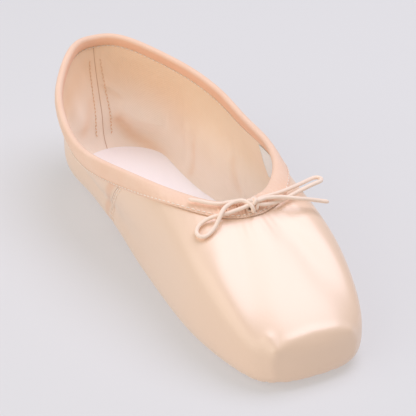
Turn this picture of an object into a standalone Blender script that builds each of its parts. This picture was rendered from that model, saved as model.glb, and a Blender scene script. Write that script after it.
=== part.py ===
# Demi pointe shoe, standing empty on its sole. Metres, +Z up, toe towards -Y.
# The origin is under the middle of the shoe, on the floor.

import math

import bmesh
import bpy
import numpy as np

# Sizes of the last
LENGTH = 0.236  # heel to toe along the widest line of the last
BALL_BREADTH = 0.0760  # across the ball of the foot
COLLAR_BREADTH = 0.0862  # across the slack mouth of the shoe
HEEL_HEIGHT = 0.0625  # collar edge at the heel, above the floor
SIDE_HEIGHT = 0.0490  # collar edge at its lowest, beside the arch
INSTEP_HEIGHT = 0.0570  # collar edge at the throat
SWELL_HEIGHT = 0.0195  # widest line of the heel, above the floor
ARCH_HEIGHT = 0.0015  # daylight under the waist of the sole
TOE_SPRING = 0.0008  # daylight under the tip of the toe
HEEL_SPRING = 0.0006  # daylight under the very back of the heel

# Sizes of the materials
UPPER_WALL = 0.0018  # satin, canvas and lining as one wall
SOLE_THICKNESS = 0.0018
INSOLE_THICKNESS = 0.0016
TAPE_THICKNESS = 0.0008
FIT_GAP = 0.0003  # left between pieces that touch

# Sizes of the seams and the casing
MARGIN_WIDTH = 0.0075  # upper turned in over the sole
TAPE_OUTSIDE = 0.0105  # depth of the casing outside
TAPE_INSIDE = 0.0090  # depth of the casing inside
CASING_PUFF = 0.0007  # room for the drawstring in the casing
TAPE_GAP = 0.0004  # between the tape and the wall that it wraps
SOCK_EASE = 0.0008  # round the sock, so that it lies flat inside the wall
SOLE_BEVEL = 0.0006
CORD_DIAMETER = 0.0019
KNOT_LENGTH = 0.0062
KNOT_BREADTH = 0.0048
KNOT_HEIGHT = 0.0040
SLIT_LENGTH = 0.0064  # where the drawstring leaves the casing
SLIT_WIDTH = 0.0026

# How finely the forms are faceted
RIBS_BETWEEN = 3  # ribs from one station to the next
WALL_STEPS = 9  # from the widest line to the collar
TUCK_STEPS = 4  # from the feather line to the widest line
PROFILE_SAMPLES = 60
CORD_STEP = 2.2 * CORD_DIAMETER  # from one point of a cord to the next
ROUTE_SAMPLES = 12  # from one place of a cord's route to the next
KNOT_SEGMENTS, KNOT_RINGS = 14, 8
CREASE_ANGLE = math.radians(35)  # edges sharper than this are shaded sharp
OUTER_LEG = (1.0, 0.8, 0.55, 0.3, 0.1)  # rows of the casing, as shares of its depth
INNER_LEG = (0.3, 0.65, 1.0)
FOLD_STEPS = 4

# Where the sole touches the floor, as shares of the length from the heel
HEEL_FLAT = (0.05, 0.27)
FOREFOOT_FLAT = (0.52, 0.80)
MIDDLE_LINE = (0.14, 0.88)  # stretch of the middle line that margins are turned towards

# Stations round one side of the last, from the heel to the toe. Lengths are shares:
#   along, rim_along            of LENGTH, from the heel
#   breadth, tuck, sole_inset   of half of BALL_BREADTH
#   swell                       of SWELL_HEIGHT, the widest line's height
#   rise                        of the height from the widest line to the collar
#   crown                       of the way from the collar out to the widest line
#   crisp                       how hard the wall turns over its shoulder, 1 is soft
#   rim_breadth                 of half of COLLAR_BREADTH
#   rim_height                  of the size that rim_of names
#   fall                        of the collar's height
COLUMNS = (
    "station", "along", "breadth", "swell", "tuck", "rise", "crown", "crisp",
    "fall", "rim_along", "rim_breadth", "rim_of", "rim_height", "sole_inset",
)
STATIONS = (
    ("heel_back", 0.000, 0.00, 0.93, 0.28, 0.20, 0.12, 1.0, 0.38, -0.042, 0.00, "heel", 1.00, 0.05),
    ("heel_corner", 0.028, 0.51, 0.95, 0.28, 0.24, 0.14, 1.0, 0.36, -0.014, 0.33, "heel", 1.00, 0.05),
    ("heel_side", 0.093, 0.79, 0.98, 0.27, 0.30, 0.16, 1.0, 0.36, 0.070, 0.68, "heel", 0.925, 0.05),
    ("heel_front", 0.176, 0.80, 1.00, 0.25, 0.37, 0.18, 1.0, 0.36, 0.154, 0.89, "side", 1.105, 0.04),
    ("waist", 0.299, 0.82, 0.98, 0.23, 0.41, 0.18, 1.0, 0.36, 0.248, 1.00, "side", 1.03, 0.04),
    ("joint", 0.469, 0.91, 0.94, 0.20, 0.48, 0.23, 1.0, 0.34, 0.356, 0.99, "side", 1.00, 0.08),
    ("ball", 0.649, 0.99, 0.93, 0.19, 0.58, 0.48, 1.0, 0.21, 0.525, 0.82, "instep", 0.975, 0.12),
    ("vamp_side", 0.785, 1.00, 0.92, 0.19, 0.61, 0.71, 1.1, 0.165, 0.631, 0.56, "instep", 1.00, 0.14),
    ("toe_side", 0.900, 0.87, 0.75, 0.16, 0.44, 0.71, 1.5, 0.23, 0.679, 0.335, "instep", 0.985, 0.16),
    ("platform_corner", 0.966, 0.68, 0.57, 0.115, 0.30, 0.66, 2.4, 0.32, 0.694, 0.18, "instep", 0.98, 0.18),
    ("platform_edge", 0.994, 0.38, 0.51, 0.10, 0.295, 0.65, 3.0, 0.35, 0.701, 0.085, "instep", 0.98, 0.20),
    ("toe_centre", 1.000, 0.00, 0.50, 0.10, 0.30, 0.65, 3.0, 0.355, 0.704, 0.00, "instep", 0.985, 0.20),
)
RIM_HEIGHTS = {"heel": HEEL_HEIGHT, "side": SIDE_HEIGHT, "instep": INSTEP_HEIGHT}
CHANGES_SIDE = ("breadth", "rim_breadth")

# The bow that the drawstring is tied in. Each route leaves the knot and lies on the casing or the
# vamp, or stands off them where the cord is stiff. Places are chosen by hand on the finished shoe.
KNOT_PLACE = (0.0006, -0.0592, 0.0589)
BOW_ROUTES = {
    "drawstring_loop_left": (
        (-0.0034, -0.0579, 0.0598),
        (-0.0070, -0.0566, 0.0595),
        (-0.0105, -0.0570, 0.0590),
        (-0.0138, -0.0586, 0.0584),
        (-0.0166, -0.0608, 0.0566),
        (-0.0188, -0.0622, 0.0542),
        (-0.0220, -0.0638, 0.0520),
        (-0.0256, -0.0648, 0.0507),
        (-0.0280, -0.0634, 0.0505),
        (-0.0282, -0.0604, 0.0512),
        (-0.0254, -0.0580, 0.0529),
        (-0.0210, -0.0576, 0.0547),
        (-0.0170, -0.0581, 0.0554),
        (-0.0126, -0.0591, 0.0560),
        (-0.0080, -0.0595, 0.0568),
        (-0.0040, -0.0602, 0.0578),
    ),
    "drawstring_loop_right": (
        (0.0046, -0.0576, 0.0586),
        (0.0082, -0.0563, 0.0580),
        (0.0126, -0.0556, 0.0577),
        (0.0174, -0.0548, 0.0575),
        (0.0236, -0.0528, 0.0570),
        (0.0300, -0.0497, 0.0559),
        (0.0361, -0.0467, 0.0550),
        (0.0401, -0.0452, 0.0545),
        (0.0419, -0.0473, 0.0548),
        (0.0404, -0.0506, 0.0556),
        (0.0382, -0.0524, 0.0563),
        (0.0342, -0.0533, 0.0563),
        (0.0296, -0.0544, 0.0560),
        (0.0249, -0.0555, 0.0557),
        (0.0186, -0.0578, 0.0556),
        (0.0134, -0.0592, 0.0557),
        (0.0086, -0.0598, 0.0561),
        (0.0046, -0.0603, 0.0570),
    ),
    "drawstring_end_left": (
        (-0.0028, -0.0560, 0.0583),
        (-0.0060, -0.0544, 0.0582),
        (-0.0095, -0.0538, 0.0582),
        (-0.0132, -0.0533, 0.0582),
        (-0.0172, -0.0509, 0.0584),
        (-0.0208, -0.0475, 0.0587),
        (-0.0245, -0.0441, 0.0587),
    ),
    "drawstring_end_right": (
        (0.0045, -0.0599, 0.0594),
        (0.0070, -0.0590, 0.0591),
        (0.0106, -0.0593, 0.0587),
        (0.0158, -0.0600, 0.0579),
        (0.0208, -0.0620, 0.0570),
        (0.0267, -0.0624, 0.0552),
        (0.0322, -0.0624, 0.0532),
        (0.0376, -0.0636, 0.0516),
    ),
}

# Colour, roughness and metallic value of each material
FINISHES = {
    "satin": ((0.84, 0.62, 0.47, 1.0), 0.38, 0.0),
    "casing_tape": ((0.85, 0.60, 0.46, 1.0), 0.75, 0.0),
    "insole_cloth": ((0.88, 0.85, 0.80, 1.0), 0.85, 0.0),
    "sole_leather": ((0.62, 0.42, 0.28, 1.0), 0.70, 0.0),
    "cord": ((0.90, 0.72, 0.60, 1.0), 0.65, 0.0),
}


def clear_scene():
    for thing in list(bpy.data.objects):
        bpy.data.objects.remove(thing, do_unlink=True)


def new_collection(name):
    collection = bpy.data.collections.new(name)
    bpy.context.scene.collection.children.link(collection)
    return collection


def finish(name):
    colour, roughness, metallic = FINISHES[name]
    material = bpy.data.materials.new(name)
    material.use_nodes = True
    shader = material.node_tree.nodes["Principled BSDF"]
    shader.inputs["Base Color"].default_value = colour
    shader.inputs["Roughness"].default_value = roughness
    shader.inputs["Metallic"].default_value = metallic
    return material


def bottom_lift(y):
    """Height of the sole's underside at a place along the shoe: heel, arch, ball and toe spring."""
    share = -y / LENGTH
    waist = np.clip((share - HEEL_FLAT[1]) / (FOREFOOT_FLAT[0] - HEEL_FLAT[1]), 0, 1)
    tip = np.clip((share - FOREFOOT_FLAT[1]) / (1 - FOREFOOT_FLAT[1]), 0, 1)
    back = np.clip((HEEL_FLAT[0] - share) / HEEL_FLAT[0], 0, 1)
    arch = ARCH_HEIGHT * (1 - np.cos(2 * math.pi * waist)) / 2
    return arch + TOE_SPRING * tip**2 + HEEL_SPRING * back**2


def rib_weights(stations):
    """Weights that carry values at the stations round a closed loop smoothly to every rib."""
    one = np.eye(stations)
    ahead, behind = np.roll(one, -1, axis=0), np.roll(one, 1, axis=0)
    slope = np.linalg.solve(4 * one + ahead + behind, 3 * (ahead - behind))
    weights = []
    for station in range(stations):
        after = (station + 1) % stations
        for step in range(RIBS_BETWEEN):
            u = step / RIBS_BETWEEN
            place = (1 + 2 * u) * (1 - u) ** 2 * one[station] + (3 - 2 * u) * u**2 * one[after]
            weights.append(place + u * (1 - u) ** 2 * slope[station] - u**2 * (1 - u) * slope[after])
    return np.array(weights)


def ribs_of_last():
    """Each column of the table at every rib, once round the shoe."""
    table = [dict(zip(COLUMNS, row)) for row in STATIONS]
    loop = table + table[-2:0:-1]
    weights = rib_weights(len(loop))
    ribs = {}
    for column in COLUMNS[1:]:
        if column == "rim_of":
            continue
        values = np.array([row[column] for row in loop], dtype=float)
        if column == "rim_height":
            values = values * [RIM_HEIGHTS[row["rim_of"]] for row in loop]
        if column in CHANGES_SIDE:
            values[len(table):] *= -1
        ribs[column] = weights @ values
    return ribs


def unit(vectors):
    return vectors / np.linalg.norm(vectors, axis=-1, keepdims=True)


class Last:
    """The form that every piece is cut from. Its ribs run from the sole up to the collar."""

    def __init__(self):
        self.ribs = ribs = ribs_of_last()
        half_ball, half_collar = BALL_BREADTH / 2, COLLAR_BREADTH / 2
        self.wide = np.stack(
            [ribs["breadth"] * half_ball, -ribs["along"] * LENGTH, ribs["swell"] * SWELL_HEIGHT], axis=1
        )
        self.rim = np.stack(
            [ribs["rim_breadth"] * half_collar, -ribs["rim_along"] * LENGTH, ribs["rim_height"]], axis=1
        )
        run = np.roll(self.wide, -1, axis=0) - np.roll(self.wide, 1, axis=0)
        self.outward = unit(np.stack([-run[:, 1], run[:, 0], 0 * run[:, 0]], axis=1))
        self.tuck = (ribs["tuck"] * half_ball)[:, None]
        self.feather = self.on_sole(self.wide - self.outward * self.tuck)
        self.sole_edge = self.toward_middle(self.feather, (ribs["sole_inset"] * half_ball)[:, None])

    def on_sole(self, points, height=0.0):
        """Points set at a height above the seat, which is the upper's underside on the sole."""
        placed = points.copy()
        placed[:, 2] = bottom_lift(points[:, 1]) + SOLE_THICKNESS + FIT_GAP + height
        return placed

    def toward_middle(self, points, distance):
        """Points moved in plan towards the middle line of the foot."""
        middle = np.clip(points[:, 1], -MIDDLE_LINE[1] * LENGTH, -MIDDLE_LINE[0] * LENGTH)
        inward = np.stack([-points[:, 0], middle - points[:, 1], 0 * middle], axis=1)
        return points + unit(inward) * distance

    def tucked(self, turn):
        """The quarter round from the feather line, at 0, to the widest line, at 1."""
        angle = turn * math.pi / 2
        points = self.wide - self.outward * self.tuck * (1 - math.sin(angle))
        points[:, 2] = self.wide[:, 2] - (self.wide[:, 2] - self.feather[:, 2]) * math.cos(angle)
        return points

    def side(self, share):
        """The wall from the widest line, at 0, over its shoulder to the collar edge, at 1."""
        ribs = self.ribs
        shoulder = self.wide.copy()
        shoulder[:, 2] += ribs["rise"] * (self.rim[:, 2] - self.wide[:, 2])
        over = self.rim + (self.wide - self.rim) * ribs["crown"][:, None]
        over[:, 2] = self.rim[:, 2] * (1 - ribs["fall"])
        pulls = (
            ((1 - share) ** 3, self.wide),
            (3 * (1 - share) ** 2 * share * ribs["crisp"][:, None], shoulder),
            (3 * (1 - share) * share**2, over),
            (share**3, self.rim),
        )
        return sum(pull * point for pull, point in pulls) / sum(pull for pull, point in pulls)

    def rows(self, tuck_steps, wall_steps):
        """Rows of points round the shoe, from the feather line up to the collar edge."""
        low = [self.tucked(step / tuck_steps) for step in range(tuck_steps)]
        high = [self.side(step / wall_steps) for step in range(wall_steps + 1)]
        return np.array(low + high)


def outward_normals(rows):
    """Unit normals of rows that run up the last, facing away from the foot."""
    around = np.roll(rows, -1, axis=1) - np.roll(rows, 1, axis=1)
    return unit(np.cross(np.gradient(rows, axis=0), around))


def read_off(scale, wanted, values):
    """The values at a wanted reading on each rib's own rising scale."""
    found = np.empty(values.shape[1:])
    for rib in range(values.shape[1]):
        reading = wanted[rib] if np.ndim(wanted) else wanted
        for axis in range(3):
            found[rib, axis] = np.interp(reading, scale[:, rib], values[:, rib, axis])
    return found


def band_faces(rows, ribs):
    """Faces between successive closed rows, facing out where the rows run upwards."""
    faces = []
    for row in range(rows - 1):
        here, above = row * ribs, (row + 1) * ribs
        for rib in range(ribs):
            after = (rib + 1) % ribs
            faces.append((here + rib, above + rib, above + after, here + after))
    return faces


def cap_faces(first, ribs):
    """Strips from each rib to its twin on the other side, over a closed row, facing down."""
    faces = []
    for rib in range(ribs // 2):
        loop = (rib, rib + 1, (ribs - rib - 1) % ribs, (ribs - rib) % ribs)
        faces.append([first + place for place in dict.fromkeys(loop)])
    return faces


def mesh_object(name, points, faces, material, collection):
    mesh = bpy.data.meshes.new(name)
    builder = bmesh.new()
    vertices = [builder.verts.new(point) for point in points]
    for loop in faces:
        builder.faces.new([vertices[place] for place in loop])
    builder.to_mesh(mesh)
    builder.free()
    mesh.shade_smooth()
    mesh.set_sharp_from_angle(angle=CREASE_ANGLE)
    mesh.materials.append(material)
    thing = bpy.data.objects.new(name, mesh)
    collection.objects.link(thing)
    return thing


def walled(name, rows, thickness, side, material, collection):
    """An open surface of rows given a wall, outwards for side 1 and inwards for side -1."""
    count, ribs = rows.shape[:2]
    thing = mesh_object(name, rows.reshape(-1, 3), band_faces(count, ribs), material, collection)
    wall = thing.modifiers.new("wall", "SOLIDIFY")
    wall.thickness = thickness
    wall.offset = side
    wall.use_even_offset = True
    return thing


def layered(name, rings, material, collection):
    """A closed solid from rings listed from its underside to its top."""
    ribs = len(rings[0])
    top = cap_faces((len(rings) - 1) * ribs, ribs)
    faces = band_faces(len(rings), ribs) + cap_faces(0, ribs) + [loop[::-1] for loop in top]
    return mesh_object(name, np.concatenate(rings), faces, material, collection)


def make_upper(last, collection):
    """Satin, canvas and lining as one wall, with the margin that is turned in over the sole."""
    margin = last.on_sole(last.toward_middle(last.feather, MARGIN_WIDTH))
    rows = np.concatenate([margin[None], last.rows(TUCK_STEPS, WALL_STEPS)])
    return walled("upper", rows, UPPER_WALL, -1, finish("satin"), collection)


def make_binding(last, collection):
    """The casing: one tape folded over the collar edge, one leg down each side of the wall."""
    samples = np.array([last.side(1 - step / PROFILE_SAMPLES) for step in range(PROFILE_SAMPLES)])
    normals = -outward_normals(samples)
    steps = np.linalg.norm(np.diff(samples, axis=0), axis=2)
    depths = np.concatenate([np.zeros((1, samples.shape[1])), np.cumsum(steps, axis=0)])
    rows = []
    for share in OUTER_LEG:
        depth = TAPE_OUTSIDE * share
        puff = CASING_PUFF * math.sin(math.pi * share)
        wall, away = read_off(depths, depth, samples), unit(read_off(depths, depth, normals))
        rows.append(wall + away * (TAPE_GAP + puff))
    edge, away = samples[0], normals[0]
    upward = unit(samples[0] - samples[1])
    fold = edge - away * UPPER_WALL / 2
    reach = UPPER_WALL / 2 + TAPE_GAP
    for turn in range(FOLD_STEPS + 1):
        angle = math.pi * turn / FOLD_STEPS
        rows.append(fold + reach * (math.cos(angle) * away + math.sin(angle) * upward))
    for share in INNER_LEG:
        depth = TAPE_INSIDE * share
        wall, away = read_off(depths, depth, samples), unit(read_off(depths, depth, normals))
        rows.append(wall - away * (UPPER_WALL + TAPE_GAP))
    return walled("collar_binding", np.array(rows), TAPE_THICKNESS, 1, finish("casing_tape"), collection)


def make_outsole(last, collection):
    """The leather sole, stitched on inside the feather line, with its lower edge eased."""
    edge = last.sole_edge
    rings = []
    for inset, height in ((SOLE_BEVEL, 0.0), (0.0, SOLE_BEVEL), (0.0, SOLE_THICKNESS)):
        ring = last.toward_middle(edge, inset)
        ring[:, 2] = bottom_lift(ring[:, 1]) + height
        rings.append(ring)
    return layered("outsole", rings, finish("sole_leather"), collection)


def make_insole(last, collection):
    """The sock on its board: the board fills the well between the margins, the sock covers them."""
    samples = last.rows(TUCK_STEPS, WALL_STEPS)
    inner = samples - outward_normals(samples) * UPPER_WALL
    well = last.toward_middle(last.feather, MARGIN_WIDTH + FIT_GAP)
    over_margin = UPPER_WALL + FIT_GAP
    rings = [last.on_sole(well), last.on_sole(well, over_margin)]
    for height in (over_margin, over_margin + INSOLE_THICKNESS):
        level = last.feather[:, 2] + height
        wall = read_off(inner[:, :, 2], level, inner)
        rings.append(last.on_sole(last.toward_middle(wall, SOCK_EASE), height))
    return layered("insole", rings, finish("insole_cloth"), collection)


def cut_slit(binding, last, cutters):
    """The slit at the throat, in the tape's outer leg, where both ends of the drawstring come out."""
    throat = len(last.rim) // 2
    samples = np.array([last.side(1 - step / PROFILE_SAMPLES) for step in range(PROFILE_SAMPLES)])
    down_the_wall = samples[:, throat]
    middle = int(np.searchsorted(np.linalg.norm(down_the_wall - down_the_wall[0], axis=1), TAPE_OUTSIDE / 2))
    upward = down_the_wall[middle - 1] - down_the_wall[middle]
    away = -outward_normals(samples)[middle, throat]
    depth = 2 * (TAPE_GAP + CASING_PUFF + TAPE_THICKNESS)
    bpy.ops.mesh.primitive_cube_add(size=1, location=down_the_wall[middle] + away * (TAPE_GAP + depth) / 2)
    cutter = bpy.context.object
    cutter.name = "slit_cutter"
    cutter.rotation_euler.x = math.atan2(upward[2], upward[1])
    cutter.scale = (SLIT_LENGTH, SLIT_WIDTH, depth)
    cutter.hide_render = True
    cutter.display_type = "WIRE"
    for collection in cutter.users_collection:
        collection.objects.unlink(cutter)
    cutters.objects.link(cutter)
    slit = binding.modifiers.new("slit", "BOOLEAN")
    slit.object = cutter
    slit.operation = "DIFFERENCE"
    return cutter


def smooth_route(places, step):
    """Points a step apart on a smooth curve through the places."""
    places = np.array(places)
    slopes = np.gradient(places, axis=0)
    fine = []
    for start, end, leave, arrive in zip(places, places[1:], slopes, slopes[1:]):
        for u in np.linspace(0, 1, ROUTE_SAMPLES, endpoint=False):
            place = (1 + 2 * u) * (1 - u) ** 2 * start + (3 - 2 * u) * u**2 * end
            fine.append(place + u * (1 - u) ** 2 * leave - u**2 * (1 - u) * arrive)
    fine = np.array(fine + [places[-1]])
    run = np.concatenate([[0], np.cumsum(np.linalg.norm(np.diff(fine, axis=0), axis=1))])
    wanted = np.linspace(0, run[-1], 1 + round(run[-1] / step))
    return np.stack([np.interp(wanted, run, fine[:, axis]) for axis in range(3)], axis=1)


def make_cord(name, places, material, collection):
    points = smooth_route(places, CORD_STEP)
    curve = bpy.data.curves.new(name, "CURVE")
    curve.dimensions = "3D"
    spline = curve.splines.new("POLY")
    spline.points.add(len(points) - 1)
    for point, place in zip(spline.points, points):
        point.co = (*place, 1)
    curve.bevel_depth = CORD_DIAMETER / 2
    curve.bevel_resolution = 2
    curve.use_fill_caps = True
    curve.materials.append(material)
    thing = bpy.data.objects.new(name, curve)
    collection.objects.link(thing)


def make_knot(material, collection):
    """The knot of the bow as the plain egg that its turns fill."""
    mesh = bpy.data.meshes.new("drawstring_knot")
    builder = bmesh.new()
    bmesh.ops.create_uvsphere(builder, u_segments=KNOT_SEGMENTS, v_segments=KNOT_RINGS, radius=0.5)
    bmesh.ops.scale(builder, verts=builder.verts, vec=(KNOT_LENGTH, KNOT_BREADTH, KNOT_HEIGHT))
    builder.to_mesh(mesh)
    builder.free()
    mesh.shade_smooth()
    mesh.materials.append(material)
    knot = bpy.data.objects.new("drawstring_knot", mesh)
    knot.location = KNOT_PLACE
    collection.objects.link(knot)


def stand_in_the_middle(pieces, cutter):
    """Carry the pieces on an empty, so that the origin is under the middle of the shoe."""
    depsgraph = bpy.context.evaluated_depsgraph_get()
    ends = [corner[1] for piece in pieces for corner in piece.evaluated_get(depsgraph).bound_box]
    stand = bpy.data.objects.new("stand", None)
    stand.location.y = -(min(ends) + max(ends)) / 2
    bpy.context.scene.collection.objects.link(stand)
    for thing in (*pieces, cutter):
        thing.parent = stand


def main():
    clear_scene()
    shoe, cutters = new_collection("demi_pointe_shoe"), new_collection("cutters")
    last = Last()
    upper, binding = make_upper(last, shoe), make_binding(last, shoe)
    outsole, insole = make_outsole(last, shoe), make_insole(last, shoe)
    cutter = cut_slit(binding, last, cutters)
    stand_in_the_middle((upper, binding, outsole, insole), cutter)
    cord = finish("cord")
    make_knot(cord, shoe)
    for name, places in BOW_ROUTES.items():
        make_cord(name, places, cord, shoe)


main()
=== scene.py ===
# Demi pointe shoe: its finishes and everything that is sewn, gathered or tied.
# Metres, +Z up, toe towards -Y.
import math

import bmesh
import bpy
import numpy as np
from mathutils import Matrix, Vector


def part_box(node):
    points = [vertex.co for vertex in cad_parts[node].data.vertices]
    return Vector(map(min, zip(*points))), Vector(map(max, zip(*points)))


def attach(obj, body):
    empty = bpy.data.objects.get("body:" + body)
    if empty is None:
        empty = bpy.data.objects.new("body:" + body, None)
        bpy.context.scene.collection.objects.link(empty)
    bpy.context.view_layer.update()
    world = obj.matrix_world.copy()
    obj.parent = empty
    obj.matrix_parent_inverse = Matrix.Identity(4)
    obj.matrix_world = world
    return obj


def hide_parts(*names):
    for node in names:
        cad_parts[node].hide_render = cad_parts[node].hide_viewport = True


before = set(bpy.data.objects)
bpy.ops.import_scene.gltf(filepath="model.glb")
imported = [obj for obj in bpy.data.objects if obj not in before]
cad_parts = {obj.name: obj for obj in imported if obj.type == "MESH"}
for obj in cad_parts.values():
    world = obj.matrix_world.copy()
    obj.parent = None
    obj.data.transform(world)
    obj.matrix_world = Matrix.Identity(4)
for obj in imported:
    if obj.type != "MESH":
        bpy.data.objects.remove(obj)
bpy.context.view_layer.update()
print("frame loaded")

# Camera: where the picture was taken from, turned so that the one shoe fills the view
cameraSizes = {"place": (-0.3554, -0.7400, 0.5045), "lookAt": (-0.0018, -0.0184, 0.0348), "lens": 171.5}


def addCamera():
    data = bpy.data.cameras.new("camera")
    data.sensor_width = 36.0
    data.lens = cameraSizes["lens"]
    camera = bpy.data.objects.new("camera", data)
    camera.location = cameraSizes["place"]
    aim = Vector(cameraSizes["lookAt"]) - camera.location
    camera.rotation_euler = aim.to_track_quat("-Z", "Y").to_euler()
    bpy.context.scene.collection.objects.link(camera)
    bpy.context.scene.camera = camera


addCamera()
print("camera set")

# The last that the shoe is made on
last = {
    "length": 0.236,
    "ballBreadth": 0.0760,
    "collarBreadth": 0.0862,
    "heelHeight": 0.0625,
    "sideHeight": 0.0490,
    "instepHeight": 0.0570,
    "swellHeight": 0.0195,
    "archHeight": 0.0015,
    "toeSpring": 0.0008,
    "heelSpring": 0.0006,
    "upperWall": 0.0018,
    "soleThickness": 0.0018,
    "fitGap": 0.0003,
    "marginWidth": 0.0075,
    "heelFlat": (0.05, 0.27),
    "forefootFlat": (0.52, 0.80),
    "middleLine": (0.14, 0.88),
    "ribsBetween": 20,  # columns of the fine surfaces from one station to the next
    "tuckSteps": 10,
    "wallSteps": 62,
}
# One side of the last from heel to toe. along and rimAlong are shares of the length, breadth, tuck and
# soleInset of half the ball's breadth, swell of the swell's height, rise of the height up to the collar,
# crown of the way out to the widest line, rimBreadth of half the collar's breadth, rimHeight of the size
# that rimOf names and fall of the collar's height. crisp is how hard the wall turns over its shoulder.
stationColumns = (
    "along", "breadth", "swell", "tuck", "rise", "crown", "crisp",
    "fall", "rimAlong", "rimBreadth", "rimOf", "rimHeight", "soleInset",
)
stations = (
    (0.000, 0.00, 0.93, 0.28, 0.20, 0.12, 1.0, 0.38, -0.042, 0.00, "heelHeight", 1.00, 0.05),
    (0.028, 0.51, 0.95, 0.28, 0.24, 0.14, 1.0, 0.36, -0.014, 0.33, "heelHeight", 1.00, 0.05),
    (0.093, 0.79, 0.98, 0.27, 0.30, 0.16, 1.0, 0.36, 0.070, 0.68, "heelHeight", 0.925, 0.05),
    (0.176, 0.80, 1.00, 0.25, 0.37, 0.18, 1.0, 0.36, 0.154, 0.89, "sideHeight", 1.105, 0.04),
    (0.299, 0.82, 0.98, 0.23, 0.41, 0.18, 1.0, 0.36, 0.248, 1.00, "sideHeight", 1.03, 0.04),
    (0.469, 0.91, 0.94, 0.20, 0.48, 0.23, 1.0, 0.34, 0.356, 0.99, "sideHeight", 1.00, 0.08),
    (0.649, 0.99, 0.93, 0.19, 0.58, 0.48, 1.0, 0.21, 0.525, 0.82, "instepHeight", 0.975, 0.12),
    (0.785, 1.00, 0.92, 0.19, 0.61, 0.71, 1.1, 0.165, 0.631, 0.56, "instepHeight", 1.00, 0.14),
    (0.900, 0.87, 0.75, 0.16, 0.44, 0.71, 1.5, 0.23, 0.679, 0.335, "instepHeight", 0.985, 0.16),
    (0.966, 0.68, 0.57, 0.115, 0.30, 0.66, 2.4, 0.32, 0.694, 0.18, "instepHeight", 0.98, 0.18),
    (0.994, 0.38, 0.51, 0.10, 0.295, 0.65, 3.0, 0.35, 0.701, 0.085, "instepHeight", 0.98, 0.20),
    (1.000, 0.00, 0.50, 0.10, 0.30, 0.65, 3.0, 0.355, 0.704, 0.00, "instepHeight", 0.985, 0.20),
)
mirroredColumns = ("breadth", "rimBreadth")
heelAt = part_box("upper")[0].y + last["length"]  # where the back of the last stands along Y


def unit(vectors):
    return vectors / np.maximum(np.linalg.norm(vectors, axis=-1, keepdims=True), 1e-12)


def lengths(steps):
    return np.linalg.norm(steps, axis=-1)


def metresAlong(path, closed=False):  # at each place of the path
    if closed:
        path = np.concatenate([path, path[:1]])
    return np.concatenate([[0], np.cumsum(lengths(np.diff(path, axis=0)))])


def between(u, start, end, leave, arrive):  # a share u of the smooth way from start to end
    place = (1 + 2 * u) * (1 - u) ** 2 * start + (3 - 2 * u) * u**2 * end
    return place + u * (1 - u) ** 2 * leave - u**2 * (1 - u) * arrive


def readOff(scale, wanted, values):  # each column of the values where its scale shows what is wanted
    wanted = np.broadcast_to(wanted, scale.shape[1])
    found = np.empty(values.shape[1:])
    for column, axis in np.ndindex(*found.shape):
        found[column, axis] = np.interp(wanted[column], scale[:, column], values[:, column, axis])
    return found


def bottomLift(y):  # heel, arch, ball and toe spring of the sole's underside
    share = (heelAt - y) / last["length"]
    heelFlat, foreFlat = last["heelFlat"], last["forefootFlat"]
    waist = np.clip((share - heelFlat[1]) / (foreFlat[0] - heelFlat[1]), 0, 1)
    tip = np.clip((share - foreFlat[1]) / (1 - foreFlat[1]), 0, 1)
    back = np.clip((heelFlat[0] - share) / heelFlat[0], 0, 1)
    arch = last["archHeight"] * (1 - np.cos(2 * math.pi * waist)) / 2
    return arch + last["toeSpring"] * tip**2 + last["heelSpring"] * back**2


def onGround(points, height=0.0):  # the same places in plan, at a height over the sole's underside
    placed = points.copy()
    placed[:, 2] = bottomLift(points[:, 1]) + height
    return placed


def onSole(points, height=0.0):
    return onGround(points, last["soleThickness"] + last["fitGap"] + height)


def ribWeights(count, parts):  # a smooth closed curve through the stations, read at every rib
    one = np.eye(count)
    ahead, behind = np.roll(one, -1, axis=0), np.roll(one, 1, axis=0)
    slope = np.linalg.solve(4 * one + ahead + behind, 3 * (ahead - behind))
    weights = []
    for station in range(count):
        after = (station + 1) % count
        for part in range(parts):
            weights.append(between(part / parts, one[station], one[after], slope[station], slope[after]))
    return np.array(weights)


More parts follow.
